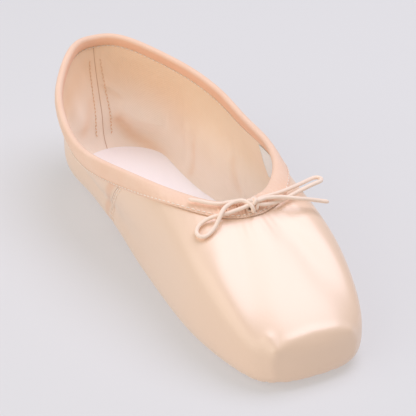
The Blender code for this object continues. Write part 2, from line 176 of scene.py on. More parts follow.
class LastForm:
    def __init__(self, parts):
        table = [dict(zip(stationColumns, row)) for row in stations]
        loop = table + table[-2:0:-1]
        weights = ribWeights(len(loop), parts)
        ribs = {}
        for column in stationColumns:
            if column == "rimOf":
                continue
            values = np.array([row[column] for row in loop], dtype=float)
            if column == "rimHeight":
                values = values * [last[row["rimOf"]] for row in loop]
            if column in mirroredColumns:
                values[len(table):] *= -1
            ribs[column] = weights @ values
        self.ribs = ribs
        halfBall, halfCollar = last["ballBreadth"] / 2, last["collarBreadth"] / 2
        wideY, rimY = (heelAt - ribs[column] * last["length"] for column in ("along", "rimAlong"))
        swell = ribs["swell"] * last["swellHeight"]
        self.wide = np.stack([ribs["breadth"] * halfBall, wideY, swell], axis=1)
        self.rim = np.stack([ribs["rimBreadth"] * halfCollar, rimY, ribs["rimHeight"]], axis=1)
        run = np.roll(self.wide, -1, axis=0) - np.roll(self.wide, 1, axis=0)
        self.away = unit(np.stack([-run[:, 1], run[:, 0], 0 * run[:, 0]], axis=1))
        self.tuck = (ribs["tuck"] * halfBall)[:, None]
        self.feather = onSole(self.wide - self.away * self.tuck)
        self.soleEdge = self.inward(self.feather, (ribs["soleInset"] * halfBall)[:, None])

    def middle(self, points):  # the nearest place on the middle line of the foot, in plan
        low, high = (heelAt - share * last["length"] for share in reversed(last["middleLine"]))
        return np.stack([0 * points[:, 0], np.clip(points[:, 1], low, high), points[:, 2]], axis=1)

    def inward(self, points, distance):
        return points + unit(self.middle(points) - points) * distance

    def rows(self, tuckSteps, wallSteps):  # from the feather line round the widest line up to the collar
        low, ribs = [], self.ribs
        for step in range(tuckSteps):
            angle = step / tuckSteps * math.pi / 2
            points = self.wide - self.away * self.tuck * (1 - math.sin(angle))
            points[:, 2] = self.wide[:, 2] - (self.wide[:, 2] - self.feather[:, 2]) * math.cos(angle)
            low.append(points)
        shoulder = self.wide.copy()
        shoulder[:, 2] += ribs["rise"] * (self.rim[:, 2] - self.wide[:, 2])
        over = self.rim + (self.wide - self.rim) * ribs["crown"][:, None]
        over[:, 2] = self.rim[:, 2] * (1 - ribs["fall"])
        high = []
        for step in range(wallSteps + 1):
            t = step / wallSteps
            pulls = (
                ((1 - t) ** 3, self.wide),
                (3 * (1 - t) ** 2 * t * ribs["crisp"][:, None], shoulder),
                (3 * (1 - t) * t**2, over),
                (t**3, self.rim),
            )
            high.append(sum(pull * point for pull, point in pulls) / sum(pull for pull, point in pulls))
        return np.array(low + high)


def outwardNormals(rows):
    around = np.roll(rows, -1, axis=1) - np.roll(rows, 1, axis=1)
    return unit(np.cross(np.gradient(rows, axis=0), around))


class Wall:  # a surface in rows up the wall and columns round the shoe, with its own ruler
    def __init__(self, places):
        self.places = places
        self.normals = outwardNormals(places)
        steps = lengths(np.diff(places, axis=0))
        self.up = np.concatenate([np.zeros((1, places.shape[1])), np.cumsum(steps, axis=0)])
        self.depth = self.up[-1] - self.up

    def setRound(self, line):  # metres round the shoe at each column, from the back seam
        self.round = metresAlong(line, closed=True)

    def atDepth(self, column, depth):  # the place and the normal there, between two columns
        count = self.places.shape[1]
        first = int(math.floor(column))
        share = column - first
        found = []
        for field in (self.places, self.normals):
            ends = []
            for rib in (first % count, (first + 1) % count):
                ruler, down = self.depth[::-1, rib], field[::-1, rib]
                ends.append(np.array([np.interp(depth, ruler, line) for line in down.T]))
            found.append((1 - share) * ends[0] + share * ends[1])
        return found[0], unit(found[1])

    def at(self, spot):  # a spot is metres round and metres down from the collar's edge
        return self.atDepth(self.columnOf(spot[0]), spot[1])

    def columnOf(self, metres):
        total = self.round[-1]
        return float(np.interp(metres % total, self.round, np.arange(len(self.round))))


def skinOf(places):  # a face of the cloth, with the wall's own measure round the shoe
    skin = Wall(places)
    skin.round = wall.round
    return skin


form = LastForm(last["ribsBetween"])
wall = Wall(form.rows(last["tuckSteps"], last["wallSteps"]))
wall.setRound(form.wide)
perimeter = wall.round[-1]

print("last shaped,", len(wall.round) - 1, "columns")


# Building helpers
def linked(name, bm, finish):
    mesh = bpy.data.meshes.new(name)
    bm.to_mesh(mesh)
    bm.free()
    mesh.shade_smooth()
    mesh.materials.append(finish)
    piece = bpy.data.objects.new(name, mesh)
    bpy.context.scene.collection.objects.link(piece)
    return piece


def wrapGrid(name, sheet, finish, ruler, closed=True, outward=True, keep=None, shade=None):
    # a flat grid laid over the places of the sheet, its UVs in metres as the ruler gives them
    if closed:
        sheet = np.concatenate([sheet, sheet[:, :1]], axis=1)
        shade = shade if shade is None else np.concatenate([shade, shade[:, :1]], axis=1)
    rows, columns = sheet.shape[:2]
    bm = bmesh.new()
    bmesh.ops.create_grid(bm, x_segments=columns - 1, y_segments=rows - 1, size=1)
    bm.verts.index_update()
    marks = bm.loops.layers.uv.new("metres")
    for vertex, place in zip(bm.verts, sheet.reshape(-1, 3)):
        vertex.co = place
    flat = ruler.reshape(-1, 2)
    for face in bm.faces:
        for loop in face.loops:
            loop[marks].uv = flat[loop.vert.index]
    if shade is not None:
        shades = bm.verts.layers.float.new("shade")
        for vertex, value in zip(bm.verts, shade.ravel()):
            vertex[shades] = value
    if keep is not None:
        gone = [v for v, kept in zip(bm.verts, keep.ravel()) if not kept]
        bmesh.ops.delete(bm, geom=gone, context="VERTS")
    bmesh.ops.remove_doubles(bm, verts=bm.verts, dist=0.00001)
    if outward:
        bmesh.ops.reverse_faces(bm, faces=bm.faces)
    return linked(name, bm, finish)


def thicken(piece, thickness, side):
    wallModifier = piece.modifiers.new("cloth", "SOLIDIFY")
    wallModifier.thickness = thickness
    wallModifier.offset = side
    wallModifier.use_even_offset = True


def rulerOf(second):  # metres round the shoe, and a second measure that the sheet brings
    around = np.tile(wall.round, (second.shape[0], 1))
    return np.stack([around, np.concatenate([second, second[:, :1]], axis=1)], axis=2)


def evenRuler(count):  # for a sheet whose finish doesn't follow its rows
    return rulerOf(np.tile(np.linspace(0, 1, count)[:, None], wall.places.shape[1]))


def softWaves(around, up, waves):  # slow swells of the cloth: height, metres per wave round and up, start
    height = 0 * around
    for tall, roundWave, upWave, start in waves:
        height = height + tall * np.sin(2 * math.pi * (around / roundWave + up / upWave) + start)
    return height


def sideSeam(depth):  # how far round from the back seam the side seams run
    down, fromBack = np.array(seamSizes["sideSeam"]).T
    return np.interp(depth, down, fromBack)


def foldHeights(points, folds):  # soft ridges and troughs along given lines
    height = np.zeros(points.shape[:-1])
    for line, width, tall in folds:
        gap = np.full(points.shape[:-1], np.inf)
        for start, end in zip(np.array(line), np.array(line)[1:]):
            along = end - start
            share = np.clip((points - start) @ along / (along @ along), 0, 1)
            gap = np.minimum(gap, lengths(points - start - share[..., None] * along))
        height += tall * bell(gap, 0, width)
    return height


def bell(values, middle, width):
    return np.exp(-(((values - middle) / width) ** 2))


def smoothStep(values, low, high):
    share = np.clip((values - low) / (high - low), 0, 1)
    return share * share * (3 - 2 * share)


# Shader helpers
def tint(red, green, blue):  # a colour as a screen shows it, made linear
    shares = (red / 255, green / 255, blue / 255)
    return (*(s / 12.92 if s <= 0.04045 else ((s + 0.055) / 1.055) ** 2.4 for s in shares), 1.0)


class Wire:  # an output socket that can stand in a sum
    def __init__(self, paint, socket):
        self.paint = paint
        self.socket = socket

    def maths(self, operation, first, second=0.0):
        return self.paint.node("ShaderNodeMath", {"operation": operation}, {0: first, 1: second})

    def __add__(self, other):
        return self.maths("ADD", self, other)

    def __radd__(self, other):
        return self.maths("ADD", other, self)

    def __sub__(self, other):
        return self.maths("SUBTRACT", self, other)

    def __rsub__(self, other):
        return self.maths("SUBTRACT", other, self)

    def __mul__(self, other):
        return self.maths("MULTIPLY", self, other)

    def __rmul__(self, other):
        return self.maths("MULTIPLY", other, self)

    def sine(self):
        return self.maths("SINE", self)

    def size(self):
        return self.maths("ABSOLUTE", self)

    def ribs(self, pitch):  # from 0 to 1 and back once in each pitch
        return (self * (2 * math.pi / pitch)).sine() * 0.5 + 0.5

    def below(self, limit, blur):  # 1 under the limit, 0 above it
        return self.paint.node(
            "ShaderNodeMapRange", {"interpolation_type": "SMOOTHSTEP"},
            {"Value": self, "From Min": limit + blur, "From Max": limit, "To Min": 0.0, "To Max": 1.0},
        )


class Paint:  # one material
    def __init__(self, name, constants):
        self.material = bpy.data.materials.new(name)
        self.material.use_nodes = True
        self.tree = self.material.node_tree
        self.shader = self.tree.nodes["Principled BSDF"]
        for socket, value in constants.items():
            self.shader.inputs[socket].default_value = value

    def node(self, kind, settings, inputs, out=0):
        made = self.tree.nodes.new(kind)
        for name, value in settings.items():
            setattr(made, name, value)
        self.fill(made, inputs)
        return Wire(self, made.outputs[out])

    def fill(self, made, inputs):
        for socket, value in inputs.items():
            if isinstance(value, Wire):
                self.tree.links.new(value.socket, made.inputs[socket])
            else:
                made.inputs[socket].default_value = value

    def mix(self, share, first, second):
        return self.node("ShaderNodeMix", {"data_type": "RGBA"}, {0: share, 6: first, 7: second}, out=2)

    def places(self, scale=(1, 1, 1), turn=(0, 0, 0)):
        found = self.node("ShaderNodeTexCoord", {}, {}, out="Object")
        return self.node("ShaderNodeMapping", {}, {"Vector": found, "Scale": scale, "Rotation": turn})

    def flat(self):  # the piece's own ruler
        return self.node("ShaderNodeUVMap", {"uv_map": "metres"}, {})

    def metres(self):  # the ruler's two measures, each by itself
        around = self.node("ShaderNodeSeparateXYZ", {}, {"Vector": self.flat()})
        return around, Wire(self, around.socket.node.outputs[1])

    def noise(self, place, scale, detail=3.0, roughness=0.5):
        wanted = {"Vector": place, "Scale": scale, "Detail": detail, "Roughness": roughness}
        return self.node("ShaderNodeTexNoise", {}, wanted)

    def bump(self, height, distance, under=None):
        wanted = {"Height": height, "Distance": distance, "Strength": 1.0}
        if under:
            wanted["Normal"] = under
        return self.node("ShaderNodeBump", {}, wanted)

    def done(self, colour, roughness, relief):
        self.fill(self.shader, {"Base Color": colour, "Roughness": roughness, "Normal": relief})
        return self.material


def atBackSeam(around, half, blur):  # 1 where the measure round the shoe starts and ends
    return around.below(half, blur) + (perimeter - around).below(half, blur)


# Finishes. A pair is how far something is drawn, from its middle or its start, and how far it fades
looks = {
    "sideSeam": (0.00022, 0.0002),
    "backSeam": (0.0002, 0.0002),
    "seamShade": (0.0010, 0.0045),
    "shadeBack": 0.0055,  # from the side seam to the middle of its shade, on the quarter
    "liningSeam": (0.00012, 0.0003),
    "shadedTop": (0.014, 0.030),  # of the lining, down from the collar's edge: darker above as painted shade, paler below as painted light
    "paleToe": (0.12, 0.10),  # of the lining, round from the throat
    "shadedInside": (-0.0030, 0.0012),  # the tape inside the shoe, past its fold, darker and more orange as painted shade
    "twill": 0.0011,
    "tapeRib": 0.0007,
    "braid": 0.00075,
}


def satinFinish():
    paint = Paint("satin", {
        "Sheen Weight": 0.15, "Sheen Roughness": 0.4, "Specular IOR Level": 0.85, "Metallic": 0.04,
        "Coat Weight": 0.35, "Coat Roughness": 0.32,
    })
    around, off = paint.metres()  # off: how far from the side seam, towards the toe
    clouds = paint.noise(paint.places(), 22.0, 3.0)
    threads = paint.noise(paint.places((2600, 90, 2600)), 1.0, 2.0)
    seams = off.size().below(*looks["sideSeam"]) + atBackSeam(around, *looks["backSeam"])
    colour = paint.mix(clouds, tint(243, 209, 180), tint(248, 218, 191))
    colour = paint.mix(threads * 0.2, colour, tint(236, 200, 170))
    # painted shade: an orange strip in the fold beside each side seam, on the quarter
    shade = (off + looks["shadeBack"]).size().below(*looks["seamShade"])
    colour = paint.mix(shade * 0.45, colour, tint(236, 172, 122))
    colour = paint.mix(seams * 0.6, colour, tint(196, 146, 110))
    gloss = 0.34 + clouds * 0.03 + threads * 0.04
    relief = paint.bump(1.0 - seams, 0.00015, paint.bump(threads, 0.00002))
    return paint.done(colour, gloss, relief)


def liningFinish():
    paint = Paint("drill_lining", {"Sheen Weight": 0.15, "Specular IOR Level": 0.25})
    around, down = paint.metres()
    twill = (around + down).ribs(looks["twill"])
    slubs = paint.node("ShaderNodeMapping", {}, {"Vector": paint.flat(), "Scale": (900, 220, 1)})
    slubs = paint.noise(slubs, 1.0, 2.0)
    clouds = paint.noise(paint.places(), 30.0, 4.0, 0.6)
    # painted shade near the collar's edge and painted light lower down: the lining turns paler away from the
    # collar
    low = 1.0 - down.below(*looks["shadedTop"])
    toeward = (around - perimeter / 2).size().below(*looks["paleToe"])
    shade = paint.node("ShaderNodeAttribute", {"attribute_name": "shade"}, {}, out=2)
    colour = paint.mix(clouds, tint(247, 209, 170), tint(251, 219, 187))
    colour = paint.mix(toeward * 0.6, colour, tint(252, 230, 208))
    colour = paint.mix(low * 0.9, colour, tint(255, 242, 229))
    # painted shade in the lining's hollows, from the shade attribute
    colour = paint.mix(shade, colour, tint(240, 176, 112))
    colour = paint.mix(slubs * 0.3, colour, tint(250, 232, 210))
    colour = paint.mix(twill * 0.10, colour, tint(206, 168, 130))
    colour = paint.mix(atBackSeam(around, *looks["liningSeam"]) * 0.7, colour, tint(190, 138, 100))
    relief = paint.bump(twill * 0.6 + slubs * 0.6, 0.00008)
    return paint.done(colour, 0.8 + clouds * 0.12, relief)


def tapeFinish():
    paint = Paint("casing_tape", {"Sheen Weight": 0.25, "Specular IOR Level": 0.3})
    around, down = paint.metres()
    ribs = around.ribs(looks["tapeRib"])
    fluff = paint.noise(paint.places(), 900.0, 3.0)
    clouds = paint.noise(paint.places(), 60.0, 3.0)
    colour = paint.mix(clouds, tint(247, 206, 177), tint(252, 220, 196))
    colour = paint.mix(fluff * 0.25, colour, tint(236, 184, 150))
    # painted shade: the tape inside the shoe is darker and more orange
    colour = paint.mix(down.below(*looks["shadedInside"]) * 0.6, colour, tint(238, 174, 130))
    relief = paint.bump(ribs * 0.4 + fluff * 0.8, 0.0001)
    return paint.done(colour, 0.72 + fluff * 0.15, relief)


def insoleFinish():
    paint = Paint("insole_cloth", {"Sheen Weight": 0.2, "Specular IOR Level": 0.25})
    nap = paint.noise(paint.places((1, 0.35, 1)), 1100.0, 3.0)
    clouds = paint.noise(paint.places(), 35.0, 3.0)
    colour = paint.mix(clouds, tint(252, 244, 242), tint(255, 251, 250))
    colour = paint.mix(nap * 0.15, colour, tint(242, 230, 226))
    return paint.done(colour, 0.85 + nap * 0.1, paint.bump(nap, 0.00008))


def leatherFinish():
    paint = Paint("sole_leather", {"Specular IOR Level": 0.3, "Sheen Weight": 0.1})
    grain = paint.noise(paint.places(), 900.0, 5.0, 0.65)
    clouds = paint.noise(paint.places(), 40.0, 4.0)
    strokes = paint.noise(paint.places((260, 18, 40), (0, 0, 0.5)), 1.0, 2.0)
    colour = paint.mix(clouds, tint(196, 160, 122), tint(216, 184, 148))
    colour = paint.mix(strokes * 0.45, colour, tint(172, 134, 98))
    relief = paint.bump(grain * 0.8 + strokes * 0.5, 0.00012)
    return paint.done(colour, 0.66 + grain * 0.2, relief)


def threadFinish(name, light, dark):
    paint = Paint(name, {"Sheen Weight": 0.2, "Specular IOR Level": 0.3})
    twist = paint.noise(paint.places(), 2200.0, 2.0)
    return paint.done(paint.mix(twist, light, dark), 0.6 + twist * 0.2, paint.bump(twist, 0.00005))


def cordFinish():
    paint = Paint("drawstring_cord", {"Sheen Weight": 0.1, "Specular IOR Level": 0.35})
    along, across = paint.metres()
    braid = (along + across).ribs(looks["braid"]) * (along - across).ribs(looks["braid"])
    fluff = paint.noise(paint.places(), 1500.0, 3.0)
    colour = paint.mix(braid, tint(253, 226, 204), tint(255, 242, 229))
    colour = paint.mix(fluff * 0.15, colour, tint(248, 208, 178))
    relief = paint.bump(braid * 0.8 + fluff * 0.4, 0.00003)
    return paint.done(colour, 0.62 + fluff * 0.15, relief)


# Seams and stitches. The side seams slant back towards the heel as they go down
seamSizes = {
    # down from the collar's edge, and round from the back seam, of the side seams
    "sideSeam": (
        (0.0082, 0.1535), (0.0140, 0.1445), (0.0187, 0.1378), (0.0253, 0.1268), (0.0300, 0.1168),
        (0.0350, 0.1085), (0.0390, 0.1040), (0.0450, 0.1010),
    ),
    "sideRows": (0.0013, 0.00338),  # from the side seam to its stitch rows, towards the toe
    "sideDepths": (0.0100, 0.046),  # where these rows begin and end, down from the collar's edge
    "pastTape": 0.0011,  # from the tape's inner edge down to its stitches on the lining
    "inTape": 0.0009,  # from its outer edge up to those on the tape
    "stitch": 0.0021,
    "pitch": 0.0026,
    "thread": 0.00030,
    "zigzagOut": 0.0042,  # rows of zigzag beside the inner back seam
    "zigzagWide": 0.0011,
    "zigzagFrom": 0.011,
    "zigzagStep": 0.0019,
    "zigzagStitch": 0.0016,
    "zigzags": 22,
}

satin, lining, tape = satinFinish(), liningFinish(), tapeFinish()
insoleCloth, leather, cordCotton = insoleFinish(), leatherFinish(), cordFinish()
seamThread = threadFinish("seam_thread", tint(255, 244, 232), tint(246, 220, 196))
backThread = threadFinish("back_thread", tint(246, 208, 170), tint(228, 182, 142))
labelCloth = threadFinish("label_cloth", tint(252, 250, 246), tint(240, 236, 230))
bpy.context.scene.view_settings.view_transform = "Standard"
print("finishes mixed")

# Drawstring: places chosen one by one, as the solids have them
cordSizes = {
    "diameter": 0.0019,
    "step": 0.0006,
    "sides": 12,
    "fine": 12,  # points of the smooth route from one chosen place to the next
    "eased": 5,
    "ends": ((-1, 0.0), (-2, 0.72), (-3, 0.93), (0, 0.0), (1, 0.8)),  # rings of the cut ends, rubbed round
    "knotHalf": (0.0031, 0.0024, 0.0020),
    "knotPoints": 90,
    "knotThin": 0.92,  # the cord drawn tight in the knot
}
knotPlace = (0.0006, -0.0592, 0.0589)
slitPlace = (0.0000, -0.0612, 0.0545)
leftLoop = (
    (-0.0034, -0.0579, 0.0598), (-0.0070, -0.0566, 0.0595), (-0.0105, -0.0570, 0.0590),
    (-0.0138, -0.0586, 0.0584), (-0.0166, -0.0608, 0.0566), (-0.0188, -0.0622, 0.0542),
    (-0.0220, -0.0638, 0.0520), (-0.0256, -0.0648, 0.0507), (-0.0280, -0.0634, 0.0505),
    (-0.0282, -0.0604, 0.0512), (-0.0254, -0.0580, 0.0529), (-0.0210, -0.0576, 0.0547),
    (-0.0170, -0.0581, 0.0554), (-0.0126, -0.0591, 0.0560), (-0.0080, -0.0595, 0.0568),
    (-0.0040, -0.0602, 0.0578),
)
rightLoop = (
    (0.0046, -0.0576, 0.0586), (0.0082, -0.0563, 0.0580), (0.0126, -0.0556, 0.0577),
    (0.0174, -0.0548, 0.0575), (0.0236, -0.0528, 0.0570), (0.0300, -0.0497, 0.0559),
    (0.0361, -0.0467, 0.0550), (0.0401, -0.0452, 0.0545), (0.0419, -0.0473, 0.0548),
    (0.0404, -0.0506, 0.0556), (0.0382, -0.0524, 0.0563), (0.0342, -0.0533, 0.0563),
    (0.0296, -0.0544, 0.0560), (0.0249, -0.0555, 0.0557), (0.0186, -0.0578, 0.0556),
    (0.0134, -0.0592, 0.0557), (0.0086, -0.0598, 0.0561), (0.0046, -0.0603, 0.0570),
)
leftEnd = (
    (-0.0028, -0.0560, 0.0583), (-0.0060, -0.0544, 0.0582), (-0.0095, -0.0538, 0.0582),
    (-0.0132, -0.0533, 0.0582), (-0.0172, -0.0509, 0.0584), (-0.0208, -0.0475, 0.0587),
    (-0.0245, -0.0441, 0.0587),
)
rightEnd = (
    (0.0045, -0.0599, 0.0594), (0.0070, -0.0590, 0.0591), (0.0106, -0.0593, 0.0587),
    (0.0158, -0.0600, 0.0579), (0.0208, -0.0620, 0.0570), (0.0267, -0.0624, 0.0552),
    (0.0322, -0.0624, 0.0532), (0.0376, -0.0636, 0.0516),
)


def smoothRoute(places, step):
    places = np.array(places)
    slopes = np.gradient(places, axis=0)
    fine = []
    for start, end, leave, arrive in zip(places, places[1:], slopes, slopes[1:]):
        shares = np.linspace(0, 1, cordSizes["fine"], endpoint=False)
        fine += [between(u, start, end, leave, arrive) for u in shares]
    fine = np.array(fine + [places[-1]])
    run = metresAlong(fine)
    wanted = np.linspace(0, run[-1], 1 + round(run[-1] / step))
    return np.stack([np.interp(wanted, run, fine[:, axis]) for axis in range(3)], axis=1)


def relaxed(path, times):  # the route with its small kinks eased, its ends kept
    for turn in range(times):
        path = np.concatenate([path[:1], (path[:-2] + 2 * path[1:-1] + path[2:]) / 4, path[-1:]])
    return path


def ringFrames(path, closed=False):  # two directions across the path, carried along it without a twist
    if closed:
        tangents = unit(np.roll(path, -1, axis=0) - np.roll(path, 1, axis=0))
    else:
        tangents = unit(np.gradient(path, axis=0))
    across = [unit(np.cross(tangents[0], (0.13, 0.21, 0.97)))]  # any direction that isn't the path's own
    for tangent in tangents[1:]:
        carried = across[-1] - tangent * (across[-1] @ tangent)
        across.append(unit(carried))
    across = np.array(across)
    beside = np.cross(tangents, across)
    if closed:  # what is left of the turn is spread along the way
        home = across[-1] - tangents[0] * (across[-1] @ tangents[0])
        left = math.atan2(home @ beside[0], home @ across[0])
        angles = -left * np.arange(len(path))[:, None] / len(path)
        across, beside = (
            np.cos(angles) * across + np.sin(angles) * beside,
            np.cos(angles) * beside - np.sin(angles) * across,
        )
    return across, beside


def tube(name, path, radii, sides, finish, closed=False):
    across, beside = ringFrames(path, closed)
    angles = np.linspace(0, 2 * math.pi, sides, endpoint=False)
    rings = path[:, None] + radii[:, None, None] * (
        np.cos(angles)[None, :, None] * across[:, None] + np.sin(angles)[None, :, None] * beside[:, None]
    )
    if closed:
        rings = np.concatenate([rings, rings[:1]])
    run = metresAlong(path, closed)
    girth = 2 * math.pi * radii.max()
    ruler = np.stack(np.meshgrid(run, np.linspace(0, girth, sides + 1), indexing="ij"), axis=2)
    return wrapGrid(name, rings, finish, ruler, outward=False)


def makeCord(name, places, nodes):
    path = relaxed(smoothRoute(places, cordSizes["step"]), cordSizes["eased"])
    radii = np.full(len(path), cordSizes["diameter"] / 2)
    for ring, share in cordSizes["ends"]:
        radii[ring] *= share
    cord = tube(name, path, radii, cordSizes["sides"], cordCotton)
    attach(cord, "root")
    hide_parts(*nodes)
    run = float(metresAlong(path)[-1])
    print(name, "is", round(run * 1000, 1), "mm long")
    return cord, path, run


def makeKnot():  # a closed trefoil stands for the two cords' turns, drawn tight
    turn = np.linspace(0, 2 * math.pi, cordSizes["knotPoints"], endpoint=False)
    radius = cordSizes["diameter"] / 2
    half = np.array(cordSizes["knotHalf"]) - radius
    trefoil = np.stack([
        np.sin(turn) + 2 * np.sin(2 * turn),
        np.cos(turn) - 2 * np.cos(2 * turn),
        -np.sin(3 * turn),
    ], axis=1)
    path = np.array(knotPlace) + trefoil / np.abs(trefoil).max(axis=0) * half
    radii = np.full(len(path), radius * cordSizes["knotThin"])
    knot = tube("drawstringTurns", path, radii, cordSizes["sides"], cordCotton, closed=True)
    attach(knot, "root")
    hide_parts("drawstring_knot")
    return knot


knot = makeKnot()
leaveSlit = (slitPlace, (-0.0006, -0.0622, 0.0560), (-0.0010, -0.0613, 0.0582))
leaveSlitRight = ((0.0014, -0.0606, 0.0548), (0.0020, -0.0607, 0.0567), (0.0028, -0.0592, 0.0583))
cordParts = (
    ("drawstringLeft",
     leaveSlit + leftLoop + ((0.0006, -0.0598, 0.0590),) + rightEnd,
     ("drawstring_loop_left", "drawstring_end_right")),
    ("drawstringRight",
     leaveSlitRight + rightLoop + ((0.0008, -0.0590, 0.0580),) + leftEnd,
     ("drawstring_loop_right", "drawstring_end_left")),
)
for name, places, nodes in cordParts:
    cord, path, run = makeCord(name, places, nodes)
print("drawstring tied")

# Satin upper: pleats under the toe, soft folds, and puckers below the casing
satinSizes = {
    "thickness": 0.0006,
    "marginRows": 6,
    "swellUp": (0.004, 0.02),  # where the swells begin and are full, up from the feather line
    "pleatDepth": 0.0006,
    "pleatPitch": 0.0062,
    "pleatValley": 0.13,  # half a valley, as a share of the pitch
    "pleatUp": (0.001, 0.0046),  # how the pleats fade up the wall from the feather line
    "pleatRound": (0.245, 0.36),  # where they begin and are full, as shares of the way round
    "platformCalm": (0.6, 0.045),  # how much flatter they are along the platform's foot, and how far round
    "puckerDepth": 0.00003,
    "puckerPitch": 0.0085,
    "puckerBand": (0.0125, 0.006),  # its middle, down from the collar's edge, and its reach
    "heldIn": (0.0004, 0.003, 0.0045),  # under the casing: how deep, its middle and its reach
    "quarterSink": (0.00035, -0.0050, 0.0036),  # the same beside the side seams
    "marginGather": 0.6,  # how much of the pleats' depth the turned-in margin shows
}
satinSwells = (
    (0.00006, 0.079, 0.150, 0.4),
    (0.00002, 0.043, -0.110, 1.9),
    (0.00002, 0.019, 0.047, 0.8),
)
# Each fold: its places, width and height, a trough below zero
satinFolds = (
    (((-0.0202, -0.0640, 0.0500), (-0.0174, -0.0731, 0.0461), (-0.0174, -0.0901, 0.0378),
      (-0.0176, -0.1010, 0.0325)), 0.0100, 0.00022),
    (((0.0200, -0.0640, 0.0500), (0.0186, -0.0900, 0.0378), (0.0180, -0.1010, 0.0325)), 0.0100, 0.00015),
    (((-0.0197, -0.1145, 0.0242), (-0.0180, -0.1191, 0.0207), (-0.0119, -0.1189, 0.0231),
      (0.0000, -0.1185, 0.0243), (0.0119, -0.1189, 0.0231), (0.0175, -0.1191, 0.0209)), 0.0028, 0.00060),
    (((-0.0186, -0.1192, 0.0200), (-0.0206, -0.1194, 0.0148), (-0.0197, -0.1201, 0.0085)), 0.0026, 0.00050),
    (((0.0186, -0.1192, 0.0200), (0.0206, -0.1194, 0.0148), (0.0197, -0.1201, 0.0085)), 0.0026, 0.00040),
    (((-0.0110, -0.1210, 0.0150), (0.0110, -0.1210, 0.0150)), 0.0055, -0.00045),
    (((0.0114, -0.0629, 0.0508), (0.0096, -0.0672, 0.0491), (0.0081, -0.0722, 0.0471)), 0.0030, -0.00014),
    (((0.0182, -0.0641, 0.0501), (0.0223, -0.0692, 0.0478)), 0.0036, -0.00014),
    (((-0.0260, -0.0590, 0.0500), (-0.0290, -0.0700, 0.0430)), 0.0050, -0.00022),
    (((-0.0330, 0.0500, 0.0300), (-0.0360, 0.0250, 0.0300)), 0.0060, 0.00050),
    (((0.0330, 0.0500, 0.0300), (0.0360, 0.0250, 0.0300)), 0.0060, 0.00050),
)


def pleatWave(around):  # narrow valleys between flat pleats, a little unevenly spaced
    wander = 0.0011 * np.sin(around * 310) + 0.0007 * np.sin(around * 733 + 1)
    phase = (around + wander) / satinSizes["pleatPitch"]
    return bell(np.mod(phase, 1), 0.5, satinSizes["pleatValley"])


def makeSatin():
    sizes = satinSizes
    around = np.tile(wall.round[:-1], (wall.places.shape[0], 1))
    share = around / perimeter
    toeward = smoothStep(share, *sizes["pleatRound"]) * smoothStep(1 - share, *sizes["pleatRound"])
    calm, reach = sizes["platformCalm"]
    toeward = toeward * (1 - calm * bell(share, 0.5, reach))
    low = 1 - smoothStep(wall.up, *sizes["pleatUp"])
    height = softWaves(around, wall.up, satinSwells) * smoothStep(wall.up, *sizes["swellUp"])
    height -= sizes["pleatDepth"] * pleatWave(around) * toeward * low
    pucker = np.sin(around * (2 * math.pi / sizes["puckerPitch"]) + 1.5 * np.sin(around * 41))
    height += sizes["puckerDepth"] * pucker * bell(wall.depth, *sizes["puckerBand"])
    height += foldHeights(wall.places, satinFolds)
    deep, middle, reach = sizes["heldIn"]
    height -= deep * bell(wall.depth, middle, reach)
    marginRows = sizes["marginRows"]
    insets = last["marginWidth"] * (1 - np.arange(marginRows) / marginRows)
    depth = np.concatenate([wall.depth[:1] + insets[:, None], wall.depth])
    off = np.minimum(around[:1], perimeter - around[:1]) - sideSeam(depth)
    deep, middle, reach = sizes["quarterSink"]
    height -= deep * bell(off[marginRows:], middle, reach)
    outer = wall.places + wall.normals * height[..., None]
    margin = []
    for inset in insets:
        row = onSole(form.inward(form.feather, inset))
        row[:, 2] -= sizes["marginGather"] * height[0]
        margin.append(row)
    piece = wrapGrid("satinUpper", np.concatenate([np.array(margin), outer]), satin, rulerOf(off))
    thicken(piece, sizes["thickness"], -1)
    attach(piece, "root")
    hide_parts("upper")
    return skinOf(outer)


satinSkin = makeSatin()
print("satin pulled over")

# Lining
liningSizes = {
    "thickness": 0.0005,
    "room": 0.0005,  # how far its troughs may go outwards
    "clear": 0.0001,  # from the inner face of the wall
    "steps": (8, 46),
    "collarFade": (0.008, 0.018),  # how its folds fade in, down from the collar's edge
    "footFade": (0.002, 0.010),  # and up from the feather line
    "seamGroove": (0.0004, 0.0010),  # along the back seam: how deep, and half its width
}
liningSwells = (
    (0.00035, 0.052, 0.060, 2.1),
    (0.00022, 0.029, -0.044, 0.6),
    (0.00012, 0.014, 0.031, 1.2),
)
liningFolds = (
    (((0.0116, 0.1085, 0.0234), (0.0175, 0.1048, 0.0201), (0.0241, 0.0981, 0.0193)), 0.0052, 0.0027),
    (((0.0093, 0.1087, 0.0182), (0.0135, 0.1061, 0.0125), (0.0182, 0.1012, 0.0093)), 0.0028, -0.0014),
    (((0.0031, 0.1157, 0.0387), (0.0105, 0.1113, 0.0325)), 0.0016, 0.0008),
    (((0.0241, 0.0981, 0.0193), (0.0273, 0.0850, 0.0150), (0.0280, 0.0740, 0.0120)), 0.0045, 0.0010),
    (((0.0290, 0.0700, 0.0260), (0.0280, 0.0660, 0.0080)), 0.0035, 0.0009),
    (((0.0284, 0.0620, 0.0240), (0.0262, 0.0590, 0.0077)), 0.0030, -0.0006),
    (((0.0330, 0.0330, 0.0330), (0.0300, 0.0200, 0.0180)), 0.0028, 0.0008),
    (((0.0340, 0.0180, 0.0330), (0.0310, 0.0080, 0.0180)), 0.0026, 0.0007),
    (((-0.0130, 0.1078, 0.0228), (-0.0180, 0.1060, 0.0320)), 0.0055, 0.0009),
    (((-0.0260, 0.0800, 0.0180), (-0.0270, 0.0500, 0.0220)), 0.0060, 0.0009),
)
